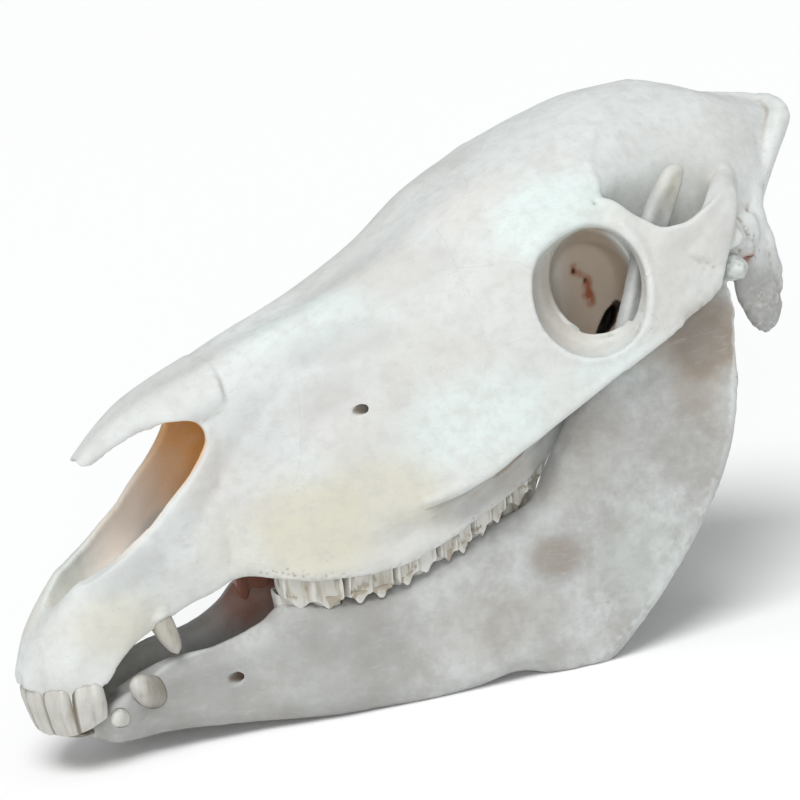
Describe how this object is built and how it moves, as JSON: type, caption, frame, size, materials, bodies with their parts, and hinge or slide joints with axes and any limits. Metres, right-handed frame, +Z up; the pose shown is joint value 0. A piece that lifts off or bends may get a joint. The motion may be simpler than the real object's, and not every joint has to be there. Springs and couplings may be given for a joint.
{
  "type": "zebra skull",
  "caption": "Life-size zebra skull at rest: cranium parted along its sutures into bones, closed on its lower jaw, with full rows of teeth.",
  "frame": {"origin": "middle of the bounding box at the level of the flats that the lower jaw rests on", "axes": "+X from the nose back to the nape, -Y to the animal's left, +Z up"},
  "size_m": [0.481, 0.1908, 0.2848],
  "materials": {
    "cranium_bone": "dry bleached bone, matt with a faint sheen on the brow and cheek",
    "jaw_bone": "dry bone, matt, a little greyer than the cranium",
    "tooth": "satin enamel and cement, ivory with brown in the grooves"
  },
  "bodies": {
    "root": {"nasal_left": "cranium_bone", "nasal_right": "cranium_bone", "premaxilla_left": "cranium_bone", "premaxilla_right": "cranium_bone", "maxilla_left": "cranium_bone", "maxilla_right": "cranium_bone", "lacrimal_left": "cranium_bone", "lacrimal_right": "cranium_bone", "zygomatic_left": "cranium_bone", "zygomatic_right": "cranium_bone", "frontal_left": "cranium_bone", "frontal_right": "cranium_bone", "temporal_left": "cranium_bone", "temporal_right": "cranium_bone", "braincase": "cranium_bone", "occipital": "cranium_bone", "mandible": "jaw_bone"}
  },
  "joints": []
}
